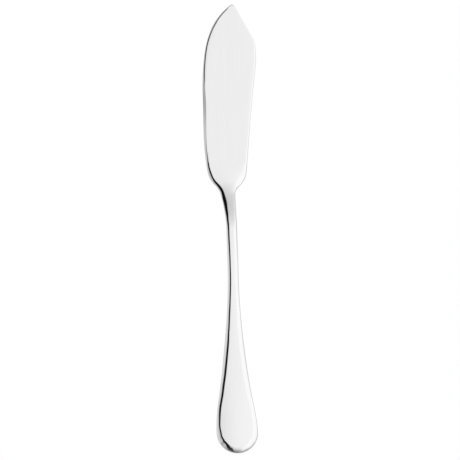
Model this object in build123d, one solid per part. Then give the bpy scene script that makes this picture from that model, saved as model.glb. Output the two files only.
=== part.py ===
from build123d import *
from math import cos, hypot, radians, sin, tan
import os

# Fish knife of polished stainless steel, in millimetres.
# It lies flat: +Y points to the blade's tip, +X to its spine and +Z up.
# The origin is on the table, under the heel, on the handle's axis.

# Blade, seen from above. A reach is measured from the knife's axis.
BLADE_LENGTH = 79.4
EDGE_REACH = 11.7
SPINE_REACH = 13.05
SPINE_SLOPE = 0.095
SPINE_BEND_LENGTH = 32.9
SPINE_BEND_REACH = 12.2
SPINE_BEND_SLOPE = 0.14
SPINE_BROW_LENGTH = 23.9
BELLY_LENGTH = 26.4
BELLY_REACH = 11.02
BELLY_SLOPE = -0.125
FORE_LENGTH = 17.4
FORE_REACH = 9.4
FORE_SLOPE = -0.29
TIP_OFFSET = 2.7
TIP_RADIUS = 1.4
TIP_EDGE_ANGLE = 52.5
TIP_CLIP_ANGLE = 28.1

# Heel, where the blade draws in to the neck
HEEL_FRONT = 3.5
HEEL_EDGE_MIDDLE = -2.4
HEEL_SPINE_MIDDLE = -2.85
HEEL_BACK = -6.75
HEEL_STEEPNESS = 0.92
HEEL_EDGE_REACH = 10.45
HEEL_EDGE_SLOPE = 0.17
HEEL_SPINE_REACH = 7.55
HEEL_EDGE_SWELL = 2.35
HEEL_SWELL_SLOPE = 0.26
HEEL_SPINE_SET = 0.4

# Thickness, ground bevel and rims of the blade
BLADE_THICKNESS = 1.6
TIP_THICKNESS = 1.1
EDGE_THICKNESS = 0.8
BEVEL_WIDTH = 1.4
BEVEL_TIP_WIDTH = 0.65
BEVEL_END = 9.0
SPINE_RIM = 0.35
BLADE_UNDER_RIM = 0.3
GRINDING_ALLOWANCE = 0.1

# Neck, where it meets the handle
NECK_LENGTH = 24.0
NECK_WIDTH = 4.9
NECK_THICKNESS = 4.0
NECK_LIFT = 1.3

# Handle: narrow waist, long flare and round end
HANDLE_LENGTH = 101.5
WAIST_LENGTH = 18.0
FLARE_LENGTH = 42.0
FLARE_WIDTH = 8.56
FLARE_SLOPE = -0.108
SHOULDER_LENGTH = 16.0
SHOULDER_WIDTH = 15.35
SHOULDER_SLOPE = -0.175
END_WIDTH = 18.9
END_THICKNESS = 3.0
CROWN_RADIUS = 120.0
RIM_WIDTH = 2.4
RIM_DROP = 1.5
UNDER_RIM = 0.8

# Tang on the blade, its socket in the handle, and the braze between them
TANG_LENGTH = 16.0
TANG_WIDTH = 2.8
TANG_THICKNESS = 1.6
TANG_ROOT = 2.0
BRAZE_GAP = 0.1

# The most that a rim takes of the thickness and of the half width it is on
RIM_OF_THICKNESS = 0.45
UNDER_RIM_OF_THICKNESS = 0.3
RIM_OF_HALF_WIDTH = 0.6

# Steps that the surfaces are drawn in, across a rim and the crowned face and along the knife
RIM_STEPS = 3
CROWN_STEPS = 6
NECK_STEPS = 8
HEEL_STEPS = 14
BLADE_STEPS = 16
FRONT_STEPS = 8
TIP_STEPS = 6
HANDLE_STEPS = 16

joint_y = -NECK_LENGTH
neck_half = NECK_WIDTH / 2
neck_top = NECK_LIFT + NECK_THICKNESS


def mix(a, b, t):
    return a + (b - a) * t


def ease(t):
    """Runs from 0 to 1 as t does, level at both ends."""
    t = min(max(t, 0.0), 1.0)
    return t * t * (3 - 2 * t)


def spread(start, stop, steps):
    """Even steps from start up to, but without, stop."""
    return [mix(start, stop, i / steps) for i in range(steps)]


def along(stations, y):
    """Reach and slope at y of the smooth curve through stations of (y, reach, slope)."""
    for (y0, r0, s0), (y1, r1, s1) in zip(stations, stations[1:]):
        if y <= y1:
            break
    span = y1 - y0
    t = (y - y0) / span
    reach = mix(r0, r1, ease(t)) + span * t * (1 - t) * (s0 * (1 - t) - s1 * t)
    slope = 6 * t * (1 - t) * (r1 - r0) / span + (1 - t) * (1 - 3 * t) * s0 + t * (3 * t - 2) * s1
    return reach, slope


def rim_sizes(thickness, half):
    """Width and drop of the upper rim of the neck or handle, and size of its underside rim."""
    most = RIM_OF_HALF_WIDTH * half
    width = min(RIM_WIDTH, most)
    drop = min(RIM_DROP, RIM_OF_THICKNESS * thickness)
    under = min(UNDER_RIM, UNDER_RIM_OF_THICKNESS * thickness, most)
    return width, drop, under


def rim(start, end, corner, roundness=1.0):
    """Points of a rim that takes off a corner: a flat for roundness 0, a quarter round for 1."""
    points = []
    for i in range(RIM_STEPS + 1):
        turn = radians(90 * i / RIM_STEPS)
        flat = mix(start, end, i / RIM_STEPS)
        quarter = start + end - corner + (corner - end) * cos(turn) + (corner - start) * sin(turn)
        points.append(mix(flat, quarter, roundness))
    return points


def strips(rings):
    """Straight-ruled faces between the rails that run through the rings' points."""
    rails = [Spline(*points) for points in zip(*rings)]
    return [Face.make_surface_from_curves(a, b) for a, b in zip(rails, rails[1:] + rails[:1])]


def cap(ring):
    return Face(Wire.make_polygon(ring))


# Plan of the blade. The tip is a small round that runs into the curved edge on one side
# and into the straight clipped front on the other.
edge_angle = radians(TIP_EDGE_ANGLE)
clip_angle = radians(TIP_CLIP_ANGLE)
tip_centre_y = BLADE_LENGTH - TIP_RADIUS
edge_tip_y = tip_centre_y + TIP_RADIUS * sin(edge_angle)
edge_tip_reach = TIP_RADIUS * cos(edge_angle) - TIP_OFFSET
clip_tip_y = tip_centre_y + TIP_RADIUS * sin(clip_angle)
clip_tip_reach = TIP_RADIUS * cos(clip_angle) + TIP_OFFSET
corner_y = clip_tip_y - (SPINE_REACH - clip_tip_reach) / tan(clip_angle)
belly_y = BLADE_LENGTH - BELLY_LENGTH
fore_y = BLADE_LENGTH - FORE_LENGTH
bend_y = BLADE_LENGTH - SPINE_BEND_LENGTH
brow_y = BLADE_LENGTH - SPINE_BROW_LENGTH
edge_root = neck_half + HEEL_EDGE_SWELL
spine_root = neck_half - HEEL_SPINE_SET

edge_side = [
    (joint_y, neck_half, 0),
    (HEEL_BACK, edge_root, HEEL_SWELL_SLOPE),
    (HEEL_EDGE_MIDDLE, (edge_root + HEEL_EDGE_REACH) / 2, HEEL_STEEPNESS),
    (HEEL_FRONT, HEEL_EDGE_REACH, HEEL_EDGE_SLOPE),
    ((HEEL_FRONT + fore_y) / 2, EDGE_REACH, 0),
    (belly_y, BELLY_REACH, BELLY_SLOPE),
    (fore_y, FORE_REACH, FORE_SLOPE),
    (edge_tip_y, edge_tip_reach, -tan(edge_angle)),
]
spine_side = [
    (joint_y, neck_half, 0),
    (HEEL_BACK, spine_root, 0),
    (HEEL_SPINE_MIDDLE, (spine_root + HEEL_SPINE_REACH) / 2, HEEL_STEEPNESS),
    (HEEL_FRONT, HEEL_SPINE_REACH, SPINE_SLOPE),
    (bend_y, SPINE_BEND_REACH, SPINE_BEND_SLOPE),
    (brow_y, SPINE_REACH, 0),
    (corner_y, SPINE_REACH, 0),
]


def tip_reach(y):
    return max(TIP_RADIUS**2 - (y - tip_centre_y) ** 2, 0) ** 0.5


def edge_reach(y):
    if y > edge_tip_y:
        return tip_reach(y) - TIP_OFFSET, 0
    return along(edge_side, y)


def spine_reach(y):
    if y > clip_tip_y:
        return tip_reach(y) + TIP_OFFSET, 0
    if y > corner_y:
        return SPINE_REACH - (y - corner_y) * tan(clip_angle), -tan(clip_angle)
    return along(spine_side, y)


def blade_ring(y):
    """Points round the blade or neck at y, from the underside by way of the spine and the edge."""
    edge, edge_slope = edge_reach(y)
    spine, spine_slope = spine_reach(y)
    rise = ease(-y / NECK_LENGTH)
    forward = max(y, 0) / BLADE_LENGTH
    rounded = ease((BEVEL_END - y) / (BEVEL_END - HEEL_BACK))
    most = (edge + spine) / 3
    low = mix(-GRINDING_ALLOWANCE, NECK_LIFT, rise)
    top = mix(mix(BLADE_THICKNESS, TIP_THICKNESS, forward), neck_top, rise)
    bevel = mix(BEVEL_WIDTH, BEVEL_TIP_WIDTH, forward)
    neck_rim, neck_drop, neck_under = rim_sizes(top - low, neck_half)
    under = min(mix(BLADE_UNDER_RIM, neck_under, rounded), most)
    spine_rim = min(mix(SPINE_RIM, neck_rim, rounded) * hypot(1, spine_slope), most)
    spine_drop = mix(SPINE_RIM, neck_drop, rounded)
    edge_rim = min(mix(bevel, neck_rim, rounded) * hypot(1, edge_slope), most)
    edge_drop = mix(top - EDGE_THICKNESS, neck_drop, rounded)

    def at(x, z):
        return Vector(x, y, z)

    ring = rim(at(spine - under, low), at(spine, low + under), at(spine, low))
    ring += rim(at(spine, top - spine_drop), at(spine - spine_rim, top), at(spine, top))
    ring += rim(at(edge_rim - edge, top), at(-edge, top - edge_drop), at(-edge, top), rounded)
    ring += rim(at(-edge, low + under), at(under - edge, low), at(-edge, low))
    return ring


body_stations = spread(joint_y, HEEL_BACK, NECK_STEPS)
body_stations += spread(HEEL_BACK, HEEL_FRONT, HEEL_STEPS)
body_stations += spread(HEEL_FRONT, corner_y, BLADE_STEPS) + [corner_y]
front_stations = spread(corner_y, clip_tip_y, FRONT_STEPS) + [clip_tip_y]
tip_turns = spread(TIP_CLIP_ANGLE, 90, TIP_STEPS)
tip_stations = [tip_centre_y + TIP_RADIUS * sin(radians(turn)) for turn in tip_turns]

# The body, the clipped front and the round tip have rails of their own, so that none overshoots
body_rings = [blade_ring(y) for y in body_stations]
front_rings = [blade_ring(y) for y in front_stations]
tip_rings = [blade_ring(y) for y in tip_stations]
blade_faces = strips(body_rings) + strips(front_rings) + strips(tip_rings)
blade_faces += [cap(body_rings[0]), cap(tip_rings[-1])]
blade = Solid(Shell(blade_faces))

# The underside of the blade is ground flat, on the table
table = Box(
    2 * (EDGE_REACH + SPINE_REACH),
    4 * BLADE_LENGTH,
    4 * GRINDING_ALLOWANCE,
    align=(Align.CENTER, Align.CENTER, Align.MAX),
)
blade -= table

# The tang runs back from the middle of the neck
tang_z = NECK_LIFT + NECK_THICKNESS / 2
tang = Box(
    TANG_WIDTH,
    TANG_LENGTH + TANG_ROOT,
    TANG_THICKNESS,
    align=(Align.CENTER, Align.MAX, Align.CENTER),
)
tang = Pos(0, joint_y + TANG_ROOT, tang_z) * tang
blade += tang

# Plan of the handle, as half widths
end_y = joint_y - HANDLE_LENGTH
end_centre_y = end_y + END_WIDTH / 2
handle_side = [
    (end_centre_y, END_WIDTH / 2, 0),
    (end_centre_y + SHOULDER_LENGTH, SHOULDER_WIDTH / 2, SHOULDER_SLOPE),
    (end_centre_y + FLARE_LENGTH, FLARE_WIDTH / 2, FLARE_SLOPE),
    (joint_y - WAIST_LENGTH, neck_half, 0),
    (joint_y, neck_half, 0),
]


def handle_half_ring(y):
    """Points of the spine side of the handle at y, from the middle underneath to the middle on top."""
    half, slope = along(handle_side, y)
    fall = ease((joint_y - y) / (joint_y - end_centre_y))
    low = mix(NECK_LIFT, 0, fall)
    top = mix(neck_top, END_THICKNESS, fall)
    width, drop, under = rim_sizes(top - low, half)
    face = half - width
    brow = top - face**2 / (2 * CROWN_RADIUS)

    def at(x, z):
        return Vector(x, y, z)

    ring = [at(0, low)]
    ring += rim(at(half - under, low), at(half, low + under), at(half, low))
    ring += rim(at(half, brow - drop), at(face, brow), at(half, brow))
    for i in range(1, CROWN_STEPS + 1):
        x = face * (1 - i / CROWN_STEPS)
        ring.append(at(x, top - x**2 / (2 * CROWN_RADIUS)))
    return ring


def handle_ring(y):
    """Points all the way round the handle at y."""
    half_ring = handle_half_ring(y)
    other_half = [Vector(-p.X, p.Y, p.Z) for p in reversed(half_ring[1:-1])]
    return half_ring + other_half


handle_stations = spread(end_centre_y, joint_y, HANDLE_STEPS) + [joint_y]
handle_rings = [handle_ring(y) for y in handle_stations]
handle = Solid(Shell(strips(handle_rings) + [cap(handle_rings[0]), cap(handle_rings[-1])]))
end_axis = Axis((0, end_centre_y, 0), (0, 0, -1))
handle += revolve(cap(handle_half_ring(end_centre_y)), end_axis, 180)

# The socket takes the tang with room for the braze all round and at its end
socket = Box(
    TANG_WIDTH + 2 * BRAZE_GAP,
    TANG_LENGTH + BRAZE_GAP,
    TANG_THICKNESS + 2 * BRAZE_GAP,
    align=(Align.CENTER, Align.MAX, Align.CENTER),
)
socket = Pos(0, joint_y, tang_z) * socket
handle -= socket
braze_joint = socket - tang

os.makedirs("parts", exist_ok=True)
export_step(blade, "parts/blade.step")
export_step(handle, "parts/handle.step")
export_step(braze_joint, "parts/braze_joint.step")
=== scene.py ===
from math import atan2, cos, degrees, hypot, pi, radians, sin, tan

import bmesh
import bpy
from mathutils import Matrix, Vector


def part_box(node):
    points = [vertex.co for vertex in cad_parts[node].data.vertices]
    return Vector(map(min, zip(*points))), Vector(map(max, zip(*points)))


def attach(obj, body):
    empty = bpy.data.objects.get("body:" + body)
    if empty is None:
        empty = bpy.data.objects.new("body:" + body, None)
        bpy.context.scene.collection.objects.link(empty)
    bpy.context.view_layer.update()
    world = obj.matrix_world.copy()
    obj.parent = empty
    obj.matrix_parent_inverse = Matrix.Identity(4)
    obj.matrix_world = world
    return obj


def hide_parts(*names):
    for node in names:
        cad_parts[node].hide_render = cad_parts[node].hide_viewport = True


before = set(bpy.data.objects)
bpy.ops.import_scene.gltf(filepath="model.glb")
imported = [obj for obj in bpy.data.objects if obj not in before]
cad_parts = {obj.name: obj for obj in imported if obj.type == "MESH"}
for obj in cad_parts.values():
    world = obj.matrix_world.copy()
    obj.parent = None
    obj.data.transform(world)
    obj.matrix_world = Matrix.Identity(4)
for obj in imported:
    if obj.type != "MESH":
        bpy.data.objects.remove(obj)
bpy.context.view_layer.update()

# Blade: the flat fish blade with its heel, its neck and the tang behind it, forged from one bar of
# stainless steel. A blunt bevel is ground along its left side, the neck is drawn in and raised to
# the handle, and the whole is buffed to a mirror. Sizes are in millimetres.
MM_PER_METRE = 1000

# How far the blade and the handle reach, read from the frame
blade_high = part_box("blade")[1] * MM_PER_METRE
handle_low, handle_high = [corner * MM_PER_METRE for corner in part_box("handle")]
joint_y = handle_high.y
neck_top = blade_high.z

# Heights above the table, and the skirts, which are the rounded edges of the underside
BLADE_THICKNESS = 1.6
TIP_THICKNESS = 1.1
NECK_LIFT = 1.3
BLADE_SKIRT = 0.2
NECK_SKIRT = 0.8

# The neck, and the heel where it opens into the blade
NECK_WIDTH = 4.9
HEEL_BACK = -6.75
HEEL_EDGE_MIDDLE = -2.4
HEEL_SPINE_MIDDLE = -2.85
HEEL_FRONT = 3.5
HEEL_STEEPNESS = 0.92
HEEL_EDGE = 10.45
HEEL_EDGE_SLOPE = 0.17
HEEL_EDGE_SWELL = 2.35
HEEL_SWELL_SLOPE = 0.26
HEEL_SPINE = 7.55
HEEL_SPINE_SET = 0.4

# The curved edge on the left, the spine on the right and the clipped tip, with lengths from the tip
EDGE_REACH = 11.69
BELLY_LENGTH = 26.4
BELLY_REACH = 11.02
BELLY_SLOPE = -0.125
FORE_LENGTH = 17.4
FORE_REACH = 9.4
FORE_SLOPE = -0.29
SPINE_SLOPE = 0.095
BEND_LENGTH = 32.9
BEND_REACH = 12.2
BEND_SLOPE = 0.14
BROW_LENGTH = 23.9
CORNER_ROUNDING = 1.5
TIP_RADIUS = 1.4
TIP_OFFSET = 2.7
TIP_EDGE_ANGLE = radians(52.5)
TIP_CLIP_ANGLE = radians(28.1)

# The tang, which is sealed in the handle
TANG_WIDTH = 2.8
TANG_THICKNESS = 1.6
TANG_LENGTH = 16.0

# Plan of the blade: how far each side reaches from the axis, as stations of (y, reach, slope). The
# tip is a small round between the curved edge and the straight clipped front.
half_neck = NECK_WIDTH / 2
spine_reach = blade_high.x
tip_centre_y = blade_high.y - TIP_RADIUS
edge_tip_y = tip_centre_y + TIP_RADIUS * sin(TIP_EDGE_ANGLE)
edge_tip_reach = TIP_RADIUS * cos(TIP_EDGE_ANGLE) - TIP_OFFSET
clip_tip_y = tip_centre_y + TIP_RADIUS * sin(TIP_CLIP_ANGLE)
clip_tip_reach = TIP_RADIUS * cos(TIP_CLIP_ANGLE) + TIP_OFFSET
clip_slope = -tan(TIP_CLIP_ANGLE)
corner_y = clip_tip_y - (spine_reach - clip_tip_reach) / tan(TIP_CLIP_ANGLE)
fore_y = blade_high.y - FORE_LENGTH
edge_side = [
    (joint_y, half_neck, 0.0),
    (HEEL_BACK, half_neck + HEEL_EDGE_SWELL, HEEL_SWELL_SLOPE),
    (HEEL_EDGE_MIDDLE, (half_neck + HEEL_EDGE_SWELL + HEEL_EDGE) / 2, HEEL_STEEPNESS),
    (HEEL_FRONT, HEEL_EDGE, HEEL_EDGE_SLOPE),
    ((HEEL_FRONT + fore_y) / 2, EDGE_REACH, 0.0),
    (blade_high.y - BELLY_LENGTH, BELLY_REACH, BELLY_SLOPE),
    (fore_y, FORE_REACH, FORE_SLOPE),
    (edge_tip_y, edge_tip_reach, -tan(TIP_EDGE_ANGLE)),
]
spine_side = [
    (joint_y, half_neck, 0.0),
    (HEEL_BACK, half_neck - HEEL_SPINE_SET, 0.0),
    (HEEL_SPINE_MIDDLE, (half_neck - HEEL_SPINE_SET + HEEL_SPINE) / 2, HEEL_STEEPNESS),
    (HEEL_FRONT, HEEL_SPINE, SPINE_SLOPE),
    (blade_high.y - BEND_LENGTH, BEND_REACH, BEND_SLOPE),
    (blade_high.y - BROW_LENGTH, spine_reach, 0.0),
    (corner_y - CORNER_ROUNDING, spine_reach, 0.0),
    (corner_y + CORNER_ROUNDING, spine_reach + CORNER_ROUNDING * clip_slope, clip_slope),
    (clip_tip_y, clip_tip_reach, clip_slope),
]

# Rims, as stations of (y, width, drop, fullness): on the left the bevel, which turns into the rolled
# side of the neck, and on the right the eased corner of the spine
bevel_rim = [
    (joint_y, 1.57, 0.94, 0.46),
    (-19.0, 1.64, 0.75, 0.47),
    (-14.5, 2.14, 0.71, 0.46),
    (-10.0, 2.85, 0.80, 0.48),
    (-5.5, 2.10, 0.72, 0.44),
    (-2.0, 1.80, 1.00, 0.40),
    (1.5, 1.82, 1.01, 0.27),
    (6.0, 1.44, 0.85, 0.24),
    (9.0, 1.25, 0.77, 0.10),
    (13.0, 1.17, 0.695, 0.03),
    (19.0, 1.32, 0.785, 0.0),
    (35.0, 1.45, 0.83, 0.0),
    (42.0, 1.20, 0.69, 0.0),
    (49.0, 1.00, 0.57, 0.09),
    (57.0, 0.85, 0.475, 0.09),
    (63.0, 0.75, 0.418, 0.09),
    (70.0, 0.82, 0.50, 0.06),
    (edge_tip_y - 1.8, 0.70, 0.47, 0.0),
    (edge_tip_y, 0.20, 0.13, 0.0),
]
spine_rim = [
    (joint_y, 1.57, 0.94, 0.46),
    (-19.0, 0.90, 0.80, 0.40),
    (-14.0, 0.60, 0.60, 0.40),
    (-8.0, 0.60, 0.65, 0.40),
    (-5.5, 0.65, 0.65, 0.40),
    (-3.0, 2.80, 0.95, 0.45),
    (0.0, 3.00, 0.95, 0.50),
    (4.0, 1.60, 0.80, 0.45),
    (8.0, 0.80, 0.50, 0.45),
    (20.0, 0.70, 0.42, 0.45),
    (corner_y - 6, 0.70, 0.40, 0.45),
    (corner_y + 1, 0.70, 0.15, 0.55),
    (clip_tip_y, 0.60, 0.10, 0.55),
]

# Slopes of a rim in degrees, as ground and as buffed: the wheel draws the middle of the rim to a
# facet, and leaves what is steeper than the last of them as it was
buffed_slopes = [(0, 0), (7.2, 9), (9.3, 12), (28, 22), (31, 25), (60, 60)]
steepest_buffed = buffed_slopes[-1][0]

# How far the face falls from its middle to its sides, and a slight roll on the spine side alone
face_crown = [(joint_y, 0.10, 0.0), (-10.0, 0.10, 0.0), (-2.0, 0.42, 0.0), (8.0, 0.0, 0.0)]
SPINE_ROLL = 0.05
SPINE_ROLL_POWER = 8

# Steps round one ring of the mesh, and the stretches of rings along the blade, as (from, to, about
# how far apart): closer at the joint, the heel and the corner
RIM_STEPS = 16
FACE_STEPS = 20
SKIRT_STEPS = 4
UNDERSIDE_STEPS = 8
TIP_ROWS = 16
blade_stretches = [
    (joint_y, joint_y + 1, 0.1),
    (joint_y + 1, -8.0, 0.4),
    (-8.0, 6.0, 0.2),
    (6.0, corner_y - 2, 0.8),
    (corner_y - 2, corner_y + 2, 0.2),
    (corner_y + 2, clip_tip_y, 0.4),
]

# Points closer than the weld distance become one, edges shorter than the least length go, and
# edges that turn by more than the sharp angle are shaded as edges
WELD_DISTANCE = 0.0002
LEAST_LENGTH = 0.00001
SHARP_ANGLE = radians(17)


def mix(start, end, share):
    """What lies this share of the way from start to end."""
    return start + (end - start) * share


def ease(share):
    """Runs from 0 to 1 as share does, level at both ends."""
    share = min(max(share, 0.0), 1.0)
    return share * share * (3 - 2 * share)


def along(stations, y):
    """Reach at y of a smooth line through (y, reach, slope) stations."""
    for (y0, reach0, slope0), (y1, reach1, slope1) in zip(stations, stations[1:]):
        if y <= y1:
            break
    span = y1 - y0
    t = min(max((y - y0) / span, 0.0), 1.0)
    return mix(reach0, reach1, ease(t)) + span * t * (1 - t) * (slope0 * (1 - t) - slope1 * t)


def rim_at(stations, y):
    """Width, drop and fullness of the rim at y, eased between (y, width, drop, fullness) stations."""
    for (y0, *rim0), (y1, *rim1) in zip(stations, stations[1:]):
        if y <= y1:
            break
    t = ease((y - y0) / (y1 - y0))
    return [mix(a, b, t) for a, b in zip(rim0, rim1)]


def buffed(slope):
    """Slope after buffing of a stretch of rim that was ground to this slope."""
    for (ground0, buffed0), (ground1, buffed1) in zip(buffed_slopes, buffed_slopes[1:]):
        if slope <= ground1:
            return mix(buffed0, buffed1, (slope - ground0) / (ground1 - ground0))


def rim_curve(width, drop, fullness):
    """(inset, fall) pairs from the outline inwards: a straight bevel at fullness 0, round at 0.55."""
    pairs = []
    inset, ground, fall = width, 0.0, 0.0
    for step in range(RIM_STEPS + 1):
        s = step / RIM_STEPS
        out = 3 * (1 - s) ** 2 * s * fullness + 3 * (1 - s) * s * s + s ** 3
        lower = drop * (3 * (1 - s) * s * s * (1 - fullness) + s ** 3)
        run = inset - width * (1 - out)
        slope = degrees(atan2(lower - ground, run))
        if 0 < slope < steepest_buffed:
            fall += run * tan(radians(buffed(slope)))
        else:
            fall += lower - ground
        inset, ground = width * (1 - out), lower
        pairs.append((inset, fall))
    return pairs[::-1]


def inward(line, side):
    """Unit directions into the metal along a line of (x, y) points, with side 1 or -1 to turn them."""
    directions = []
    for i in range(len(line)):
        (x0, y0), (x1, y1) = line[max(i - 1, 0)], line[min(i + 1, len(line) - 1)]
        length = hypot(x1 - x0, y1 - y0)
        directions.append((side * (y1 - y0) / length, -side * (x1 - x0) / length))
    return directions


def ring(left, left_in, right, right_in, left_rim, right_rim, top, low, skirt):
    """One turn round the knife: skirt and rim on the left, the face, rim and skirt on the right."""
    points = []

    def put(at, into, inset, height):
        x, y = at[0] + into[0] * inset, at[1] + into[1] * inset
        points.append((x, y, height(x, y)))

    turns = [radians(90) * step / SKIRT_STEPS for step in range(SKIRT_STEPS + 1)]
    for turn in turns[::-1]:
        put(left, left_in, skirt * (1 - cos(turn)), lambda x, y: low(y) + skirt * (1 - sin(turn)))
    for inset, fall in rim_curve(*left_rim):
        put(left, left_in, inset, lambda x, y: top(x, y) - fall)
    (x0, y0, _), width = points[-1], right_rim[0]
    x1, y1 = right[0] + right_in[0] * width, right[1] + right_in[1] * width
    for step in range(1, FACE_STEPS):
        x, y = mix(x0, x1, step / FACE_STEPS), mix(y0, y1, step / FACE_STEPS)
        points.append((x, y, top(x, y)))
    for inset, fall in rim_curve(*right_rim)[::-1]:
        put(right, right_in, inset, lambda x, y: top(x, y) - fall)
    for turn in turns:
        put(right, right_in, skirt * (1 - cos(turn)), lambda x, y: low(y) + skirt * (1 - sin(turn)))
    (x0, y0, _), (x1, y1, _) = points[-1], points[0]
    for step in range(1, UNDERSIDE_STEPS):
        x, y = mix(x0, x1, step / UNDERSIDE_STEPS), mix(y0, y1, step / UNDERSIDE_STEPS)
        points.append((x, y, low(y)))
    return points


def skin(name, rings, slot_width, slot_thickness, slot_depth):
    """A closed piece from its rings, the first at the joint, with a tang or a socket in that end."""
    making = bmesh.new()
    turns = [[making.verts.new([c / MM_PER_METRE for c in point]) for point in turn] for turn in rings]
    for turn, following in zip(turns, turns[1:]):
        for i in range(len(turn)):
            j = (i + 1) % len(turn)
            making.faces.new((turn[i], turn[j], following[j], following[i]))
    slot_z = (neck_top + NECK_LIFT) / 2
    mouth, slot_floor = [], []
    for side, rise in ((-1, -1), (1, -1), (1, 1), (-1, 1)):
        x, z = side * slot_width / 2, slot_z + rise * slot_thickness / 2
        mouth.append(making.verts.new([c / MM_PER_METRE for c in (x, joint_y, z)]))
        slot_floor.append(making.verts.new([c / MM_PER_METRE for c in (x, joint_y - slot_depth, z)]))
    first = turns[0]
    joint_edges = [making.edges.get((first[i - 1], first[i])) for i in range(len(first))]
    for i in range(len(mouth)):
        joint_edges.append(making.edges.new((mouth[i - 1], mouth[i])))
        making.faces.new((mouth[i - 1], mouth[i], slot_floor[i], slot_floor[i - 1]))
    making.faces.new(slot_floor)
    bmesh.ops.triangle_fill(making, use_beauty=True, edges=joint_edges)
    bmesh.ops.remove_doubles(making, verts=making.verts, dist=WELD_DISTANCE / MM_PER_METRE)
    bmesh.ops.dissolve_degenerate(making, edges=making.edges, dist=LEAST_LENGTH / MM_PER_METRE)
    bmesh.ops.recalc_face_normals(making, faces=making.faces)
    mesh = bpy.data.meshes.new(name)
    making.to_mesh(mesh)
    making.free()
    mesh.polygons.foreach_set("use_smooth", [True] * len(mesh.polygons))
    mesh.set_sharp_from_angle(angle=SHARP_ANGLE)
    piece = bpy.data.objects.new(name, mesh)
    bpy.context.scene.collection.objects.link(piece)
    return piece


def blade_low_at(y):
    """Height of the underside at y, which rises to the neck."""
    return mix(0.0, NECK_LIFT, ease(y / joint_y))


def blade_top_at(x, y):
    """Height of the face at x and y, with its crown and its roll."""
    flat = mix(BLADE_THICKNESS, TIP_THICKNESS, max(y, 0.0) / blade_high.y)
    left, right = along(edge_side, y), along(spine_side, y)
    across = (x - (right - left) / 2) / ((right + left) / 2)
    fall = along(face_crown, y) * across * across + SPINE_ROLL * max(across, 0.0) ** SPINE_ROLL_POWER
    return mix(flat, neck_top, ease(y / joint_y)) - fall


def tip_point(turn):
    """Point of the tip's round at this turn from the right."""
    return TIP_OFFSET + TIP_RADIUS * cos(turn), tip_centre_y + TIP_RADIUS * sin(turn)


blade_rows = []
for start, end, apart in blade_stretches:
    count = round((end - start) / apart)
    blade_rows += [mix(start, end, i / count) for i in range(count)]
blade_rows.append(clip_tip_y)

# The outline of both sides. The rows past the clipped front go round the tip, and on the left the edge
# runs on over the first half of them.
edge_line = [(-along(edge_side, y), y) for y in blade_rows]
spine_line = [(along(spine_side, y), y) for y in blade_rows]
for row in range(1, TIP_ROWS + 1):
    share = row / TIP_ROWS
    spine_line.append(tip_point(mix(TIP_CLIP_ANGLE, pi / 2, share)))
    if share <= 0.5:
        y = mix(clip_tip_y, edge_tip_y, share * 2)
        edge_line.append((-along(edge_side, y), y))
    else:
        edge_line.append(tip_point(mix(pi - TIP_EDGE_ANGLE, pi / 2, share * 2 - 1)))

# Insets run straight across at the joint, so that the seam is flush, and straight back at the tip
edge_in, spine_in = inward(edge_line, 1), inward(spine_line, -1)
edge_in[0], spine_in[0] = (1.0, 0.0), (-1.0, 0.0)
edge_in[-1] = spine_in[-1] = (0.0, -1.0)

# The rings, with the two rims drawn together until they are one at the tip
blade_rings = []
for row, (left, right) in enumerate(zip(edge_line, spine_line)):
    bevel, corner = rim_at(bevel_rim, left[1]), rim_at(spine_rim, right[1])
    to_tip = ease((row - len(blade_rows)) / (TIP_ROWS - 1)) / 2
    left_rim = [mix(a, b, to_tip) for a, b in zip(bevel, corner)]
    right_rim = [mix(b, a, to_tip) for a, b in zip(bevel, corner)]
    skirt = mix(BLADE_SKIRT, NECK_SKIRT, ease(left[1] / joint_y))
    blade_rings.append(ring(left, edge_in[row], right, spine_in[row], left_rim, right_rim,
                            blade_top_at, blade_low_at, skirt))
blade = skin("blade_skin", blade_rings, TANG_WIDTH, TANG_THICKNESS, TANG_LENGTH)


def linear(colour):
    """Linear colour of an sRGB hex value."""
    parts = [int(colour[i:i + 2], 16) / 255 for i in (1, 3, 5)]
    return [c / 12.92 if c <= 0.04045 else ((c + 0.055) / 1.055) ** 2.4 for c in parts] + [1.0]


def add(tree, kind, inputs=None, **settings):
    """Adds a node, sets its settings and fills its inputs with values or links."""
    node = tree.nodes.new(kind)
    for name, value in settings.items():
        setattr(node, name, value)
    for name, value in (inputs or {}).items():
        if isinstance(value, bpy.types.NodeSocket):
            tree.links.new(value, node.inputs[name])
        else:
            node.inputs[name].default_value = value
    return node


# Polished stainless steel: rolled, ground and buffed to a mirror. It shows the room in neutral grey,
# a little blurred by hairlines from the buffing wheel that run along the knife, and bent by the
# slight waviness that buffing leaves.
STEEL_LIGHT = "#D0D0D0"
STEEL_DARK = "#CACACA"
STEEL_SMOOTHEST = 0.05
STEEL_ROUGHEST = 0.09
HAIRLINE_WIDTH = 0.5  # real ones are some hundredths wide, drawn coarser to show
HAIRLINE_LENGTH = 40.0
HAIRLINE_DEPTH = 0.0002
BUFFING_PATCH = 14.0
WAVE_LENGTH = 9.0
WAVE_DEPTH = 0.006
LEAST_WORKED = 0.6  # the sum of hairlines and patches runs about from here
MOST_WORKED = 1.4  # to here
steel = bpy.data.materials.new("polished_stainless_steel")
steel.use_nodes = True
tree = steel.node_tree
tree.nodes.clear()
place = add(tree, "ShaderNodeTexCoord").outputs["Object"]
in_mm = add(tree, "ShaderNodeVectorMath", {0: place, "Scale": MM_PER_METRE}, operation="SCALE").outputs[0]
hairline_scale = (1 / HAIRLINE_WIDTH, 1 / HAIRLINE_LENGTH, 1 / HAIRLINE_WIDTH)
drawn_out = add(tree, "ShaderNodeVectorMath", {0: in_mm, 1: hairline_scale}, operation="MULTIPLY").outputs[0]
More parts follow.
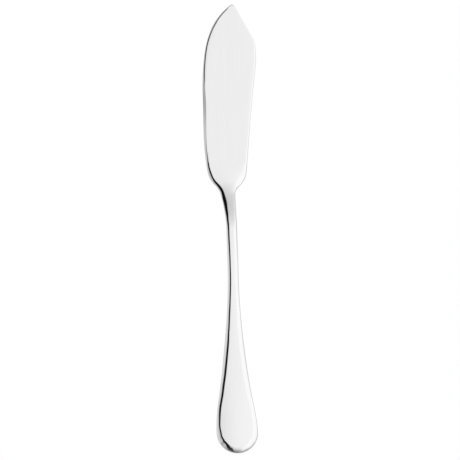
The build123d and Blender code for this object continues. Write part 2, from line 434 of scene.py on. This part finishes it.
hairlines = add(tree, "ShaderNodeTexNoise", {"Vector": drawn_out, "Scale": 1.0, "Detail": 3.0}).outputs["Fac"]
patches = add(tree, "ShaderNodeTexNoise",
              {"Vector": in_mm, "Scale": 1 / BUFFING_PATCH, "Detail": 2.0}).outputs["Fac"]
waves = add(tree, "ShaderNodeTexNoise",
            {"Vector": in_mm, "Scale": 1 / WAVE_LENGTH, "Detail": 1.0}).outputs["Fac"]
worked = add(tree, "ShaderNodeMath", {0: hairlines, 1: patches}, operation="ADD").outputs[0]
roughness = add(tree, "ShaderNodeMapRange",
                {"Value": worked, "From Min": LEAST_WORKED, "From Max": MOST_WORKED,
                 "To Min": STEEL_SMOOTHEST, "To Max": STEEL_ROUGHEST}).outputs["Result"]

# Sockets 6 and 7 of a colour mix are its two colours, and output 2 is what lies between them
tone = add(tree, "ShaderNodeMix", {"Factor": hairlines, 6: linear(STEEL_DARK), 7: linear(STEEL_LIGHT)},
           data_type="RGBA").outputs[2]
wavy = add(tree, "ShaderNodeBump",
           {"Height": waves, "Strength": 1.0, "Distance": WAVE_DEPTH / MM_PER_METRE}).outputs["Normal"]
brushed = add(tree, "ShaderNodeBump",
              {"Height": hairlines, "Strength": 1.0, "Distance": HAIRLINE_DEPTH / MM_PER_METRE,
               "Normal": wavy}).outputs["Normal"]
metal = add(tree, "ShaderNodeBsdfPrincipled",
            {"Base Color": tone, "Metallic": 1.0, "Roughness": roughness, "Normal": brushed})
add(tree, "ShaderNodeOutputMaterial", {"Surface": metal.outputs["BSDF"]})
blade.data.materials.append(steel)
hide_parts("blade")
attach(blade, "root")

# Handle: one solid coined bar of the same steel, slim at the waist and wide at its round end, with a
# crowned face and a rolled rim all round. Its blind socket takes the tang, and the seam at the joint
# is filled with braze and buffed away.
WAIST_LENGTH = 18.0
FLARE_LENGTH = 42.0
FLARE_WIDTH = 8.56
FLARE_SLOPE = -0.108
SHOULDER_LENGTH = 16.0
SHOULDER_WIDTH = 15.35
SHOULDER_SLOPE = -0.175
END_THICKNESS = 3.0
END_SKIRT = 0.55
BRAZE_GAP = 0.1

# Rings of the mesh: close together at the joint, then down to the end and round it
JOINT_STRETCH = 1.0
JOINT_ROWS = 10
HANDLE_ROWS = 150
END_ROWS = 40

# Plan of the handle, as half widths, and its rim, in stations like the blade's
end_radius = handle_high.x
end_centre_y = handle_low.y + end_radius
handle_side = [
    (end_centre_y, end_radius, 0.0),
    (end_centre_y + SHOULDER_LENGTH, SHOULDER_WIDTH / 2, SHOULDER_SLOPE),
    (end_centre_y + FLARE_LENGTH, FLARE_WIDTH / 2, FLARE_SLOPE),
    (joint_y - WAIST_LENGTH, half_neck, 0.0),
    (joint_y, half_neck, 0.0),
]
handle_rim = [
    (handle_low.y, 2.95, 1.78, 0.50),
    (end_centre_y - 8.5, 3.20, 1.95, 0.45),
    (end_centre_y - 6, 3.05, 2.03, 0.25),
    (end_centre_y - 4, 2.84, 1.78, 0.34),
    (end_centre_y - 1, 2.48, 1.36, 0.37),
    (-112.0, 1.90, 0.94, 0.44),
    (-105.0, 1.96, 0.88, 0.50),
    (-96.0, 2.22, 1.24, 0.49),
    (-88.0, 2.34, 1.46, 0.47),
    (-83.0, 2.32, 1.52, 0.45),
    (-76.0, 2.25, 1.48, 0.43),
    (-69.0, 1.90, 1.23, 0.41),
    (-61.0, 1.70, 1.03, 0.42),
    (-55.0, 1.62, 1.02, 0.38),
    (-46.0, 1.66, 1.08, 0.36),
    (-37.0, 1.60, 1.07, 0.38),
    (joint_y, 1.57, 0.94, 0.46),
]

# The rim falls less on the right than on the left: the share of its drop there
right_drop = [
    (handle_low.y, 1.0, 0.0),
    (end_centre_y - 4, 0.80, 0.0),
    (-80.0, 0.70, 0.0),
    (-40.0, 0.70, 0.0),
    (joint_y, 1.0, 0.0),
]

# How far its face falls from the middle to each side
left_crown = [
    (handle_low.y, 0.55, 0.0),
    (-119.0, 0.76, 0.0),
    (-112.0, 0.73, 0.0),
    (-103.0, 0.52, 0.0),
    (-92.0, 0.26, 0.0),
    (-83.0, 0.19, 0.0),
    (joint_y, 0.10, 0.0),
]
right_crown = [
    (handle_low.y, 0.55, 0.0),
    (-105.0, 0.36, 0.0),
    (-83.0, 0.19, 0.0),
    (joint_y, 0.10, 0.0),
]

# The handle isn't quite straight: how far its middle line lies to the right of the knife's axis
handle_sweep = [
    (-119.0, 0.22, 0.0),
    (-109.0, -0.07, -0.03),
    (-84.0, -0.25, 0.0),
    (-60.0, -0.05, 0.01),
    (-38.0, 0.10, 0.0),
    (joint_y, 0.0, 0.0),
]


def to_end(y):
    """Share of the way from the joint to the middle of the round end, eased."""
    return ease((joint_y - y) / (joint_y - end_centre_y))


def handle_low_at(y):
    """Height of the underside at y, which comes down to the table."""
    return mix(NECK_LIFT, 0.0, to_end(y))


def handle_top_at(x, y):
    """Height of the crowned face at x and y."""
    half = along(handle_side, max(y, end_centre_y))
    across = (x - along(handle_sweep, y)) / half
    crown = along(left_crown if across < 0 else right_crown, y)
    return mix(neck_top, END_THICKNESS, to_end(y)) - crown * across ** 2


joint_end_y = joint_y - JOINT_STRETCH
handle_rows = [mix(joint_y, joint_end_y, i / JOINT_ROWS) for i in range(JOINT_ROWS)]
handle_rows += [mix(joint_end_y, end_centre_y, i / HANDLE_ROWS) for i in range(HANDLE_ROWS + 1)]
half_outline = [(along(handle_side, y), y) for y in handle_rows]
for row in range(1, END_ROWS + 1):
    turn = pi / 2 * row / END_ROWS
    half_outline.append((end_radius * cos(turn), end_centre_y - end_radius * sin(turn)))
left_line = [(along(handle_sweep, y) - half, y) for half, y in half_outline]
right_line = [(along(handle_sweep, y) + half, y) for half, y in half_outline]
left_in, right_in = inward(left_line, -1), inward(right_line, 1)
left_in[0], right_in[0] = (1.0, 0.0), (-1.0, 0.0)
left_in[-1] = right_in[-1] = (0.0, 1.0)
handle_rings = []
for row, (left, right) in enumerate(zip(left_line, right_line)):
    width, drop, fullness = rim_at(handle_rim, left[1])
    left_rim = [width, drop, fullness]
    right_rim = [width, drop * along(right_drop, right[1]), fullness]
    skirt = mix(NECK_SKIRT, END_SKIRT, to_end(left[1]))
    handle_rings.append(ring(left, left_in[row], right, right_in[row], left_rim, right_rim,
                             handle_top_at, handle_low_at, skirt))
handle = skin("handle_skin", handle_rings, TANG_WIDTH + 2 * BRAZE_GAP, TANG_THICKNESS + 2 * BRAZE_GAP,
              TANG_LENGTH + BRAZE_GAP)
handle.data.materials.append(steel)
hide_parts("handle")
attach(handle, "root")

# Braze joint: the film of silver brazing alloy that ran into the gap round the tang and holds the
# blade in the handle. It is the solid itself, sealed inside the knife.
BRAZE_PALE = "#D8CDB0"
BRAZE_WARM = "#C2AE83"
BRAZE_SMOOTHEST = 0.3
BRAZE_ROUGHEST = 0.5
BRAZE_GRAIN = 0.3
BRAZE_GRAIN_DEPTH = 0.02

# Silver brazing alloy: melted and left as it set, a pale warm metal with a dull, fine cast grain
braze = bpy.data.materials.new("silver_brazing_alloy")
braze.use_nodes = True
tree = braze.node_tree
tree.nodes.clear()
place = add(tree, "ShaderNodeTexCoord").outputs["Object"]
in_mm = add(tree, "ShaderNodeVectorMath", {0: place, "Scale": MM_PER_METRE}, operation="SCALE").outputs[0]
grain = add(tree, "ShaderNodeTexNoise",
            {"Vector": in_mm, "Scale": 1 / BRAZE_GRAIN, "Detail": 4.0}).outputs["Fac"]
tone = add(tree, "ShaderNodeMix", {"Factor": grain, 6: linear(BRAZE_WARM), 7: linear(BRAZE_PALE)},
           data_type="RGBA").outputs[2]
roughness = add(tree, "ShaderNodeMapRange",
                {"Value": grain, "To Min": BRAZE_SMOOTHEST, "To Max": BRAZE_ROUGHEST}).outputs["Result"]
cast = add(tree, "ShaderNodeBump",
           {"Height": grain, "Strength": 0.5, "Distance": BRAZE_GRAIN_DEPTH / MM_PER_METRE}).outputs["Normal"]
metal = add(tree, "ShaderNodeBsdfPrincipled",
            {"Base Color": tone, "Metallic": 1.0, "Roughness": roughness, "Normal": cast})
add(tree, "ShaderNodeOutputMaterial", {"Surface": metal.outputs["BSDF"]})
braze_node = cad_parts["braze_joint"]
braze_node.data.materials.clear()
braze_node.data.materials.append(braze)

# Light table: a white top lit evenly from below, as for a product photograph, so that the knife lies
# on plain white with no shadow round it and its rims mirror white. Its sizes are in metres.
TABLE_HALF = 10.0
TABLE_DROP = 0.0001
TABLE_WHITE = "#FFFFFF"
TABLE_GLOW = 1.0
table_corners = [(side * TABLE_HALF, end * TABLE_HALF, -TABLE_DROP)
                 for side, end in ((-1, -1), (1, -1), (1, 1), (-1, 1))]
table_mesh = bpy.data.meshes.new("light_table")
table_mesh.from_pydata(table_corners, [], [(0, 1, 2, 3)])
table = bpy.data.objects.new("light_table", table_mesh)
bpy.context.scene.collection.objects.link(table)

# Opal glass: milky glass with lamps under it, which glows an even white and shows no grain
opal = bpy.data.materials.new("opal_glass")
opal.use_nodes = True
tree = opal.node_tree
tree.nodes.clear()
glow = add(tree, "ShaderNodeEmission", {"Color": linear(TABLE_WHITE), "Strength": TABLE_GLOW})
add(tree, "ShaderNodeOutputMaterial", {"Surface": glow.outputs["Emission"]})
table_mesh.materials.append(opal)

# Studio light: a long soft box overhead, brightest to the right and dimmer there towards the table, a
# dark gap along its left edge and a white card low on the left beyond the gap. All of it runs along
# the knife and dims towards both its ends.
LIGHT_STRENGTH = 1.8
ALONG_PEAK = 1.03

# Degrees to the right of straight up, and the brightness there
across_light = [
    (-90, 1.25), (-70, 1.15), (-50, 0.95), (-44, 0.008), (-24, 0.004), (-18, 1.12), (-10, 1.27), (-4, 1.35),
    (0, 1.39), (6, 1.44), (15, 1.52), (25, 1.58), (50, 1.55), (65, 1.20), (80, 0.90), (90, 0.85),
]

# Direction along the knife, from -1 at the handle's end to 1 at the tip, and the share of the light
# there: on the left and overhead, and on the right, where it dims later and takes over by degrees
along_light_left = [
    (-1.0, 0.20), (-0.83, 0.30), (-0.66, 0.50), (-0.5, 0.86), (-0.34, 0.90), (-0.2, 0.95), (-0.08, 1.03),
    (0.0, 1.0), (0.1, 1.0), (0.48, 0.70), (0.7, 0.45), (1.0, 0.35),
]
along_light_right = [
    (-1.0, 0.30), (-0.88, 0.38), (-0.7, 0.80), (-0.55, 1.0), (0.25, 1.0), (0.48, 0.82), (0.7, 0.60),
    (1.0, 0.40),
]
RIGHT_FROM = radians(2)
RIGHT_TO = radians(25)

# The least light in each of these directions, which closes the dark gap towards both ends
least_light = [
    (-1.0, 0.25), (-0.85, 0.17), (-0.6, 0.05), (-0.4, 0.0), (0.5, 0.0), (0.68, 0.45), (1.0, 0.55),
]
world = bpy.data.worlds.new("soft_box_studio")
bpy.context.scene.world = world
world.use_nodes = True
tree = world.node_tree
tree.nodes.clear()
towards = add(tree, "ShaderNodeTexCoord").outputs["Generated"]
parts = add(tree, "ShaderNodeSeparateXYZ", {"Vector": towards}).outputs
angle = add(tree, "ShaderNodeMath", {0: parts["X"], 1: parts["Z"]}, operation="ARCTAN2").outputs[0]
across_stops = [(at / 90, brightness) for at, brightness in across_light]
lights = []
for value, reach, stops, brightest in ((angle, pi / 2, across_stops, LIGHT_STRENGTH),
                                       (parts["Y"], 1.0, along_light_left, ALONG_PEAK),
                                       (parts["Y"], 1.0, along_light_right, ALONG_PEAK),
                                       (parts["Y"], 1.0, least_light, LIGHT_STRENGTH * ALONG_PEAK)):
    position = add(tree, "ShaderNodeMapRange", {"Value": value, "From Min": -reach, "From Max": reach})
    ramp = add(tree, "ShaderNodeValToRGB", {"Fac": position.outputs["Result"]})
    elements = ramp.color_ramp.elements
    for i, (at, brightness) in enumerate(stops):
        stop = elements[i] if i < 2 else elements.new((at + 1) / 2)
        stop.position = (at + 1) / 2
        stop.color = [brightness / brightest] * 3 + [1.0]
    lights.append(ramp.outputs["Color"])
across, along_left, along_right, least = lights
to_right = add(tree, "ShaderNodeMapRange", {"Value": angle, "From Min": RIGHT_FROM, "From Max": RIGHT_TO})
along_both = add(tree, "ShaderNodeMix", {"Factor": to_right.outputs["Result"], 6: along_left, 7: along_right},
                 data_type="RGBA").outputs[2]
lit = add(tree, "ShaderNodeVectorMath", {0: across, 1: along_both}, operation="MULTIPLY").outputs[0]
filled = add(tree, "ShaderNodeVectorMath", {0: lit, 1: least}, operation="MAXIMUM").outputs[0]
background = add(tree, "ShaderNodeBackground", {"Color": filled, "Strength": LIGHT_STRENGTH * ALONG_PEAK})
add(tree, "ShaderNodeOutputWorld", {"Surface": background.outputs["Background"]})

# Camera: straight above, far off with a long lens, turned a little so that the tip leans left as in
# the photograph. The picture is shown without a film curve.
FRAME_WIDTH = 209.6
LENS = 200.0
SENSOR = 36.0
LOOK_AT = (-0.81, -23.45, 3.0)
LEAN = radians(1.46)
look_x, look_y, look_z = LOOK_AT
camera_place = (look_x, look_y, look_z + FRAME_WIDTH * LENS / SENSOR)
camera_data = bpy.data.cameras.new("overhead_camera")
camera_data.lens = LENS
camera_data.sensor_width = SENSOR
camera = bpy.data.objects.new("overhead_camera", camera_data)
camera.location = [c / MM_PER_METRE for c in camera_place]
camera.rotation_euler = (0.0, 0.0, -LEAN)
bpy.context.scene.collection.objects.link(camera)
bpy.context.scene.camera = camera
bpy.context.scene.view_settings.view_transform = "Standard"
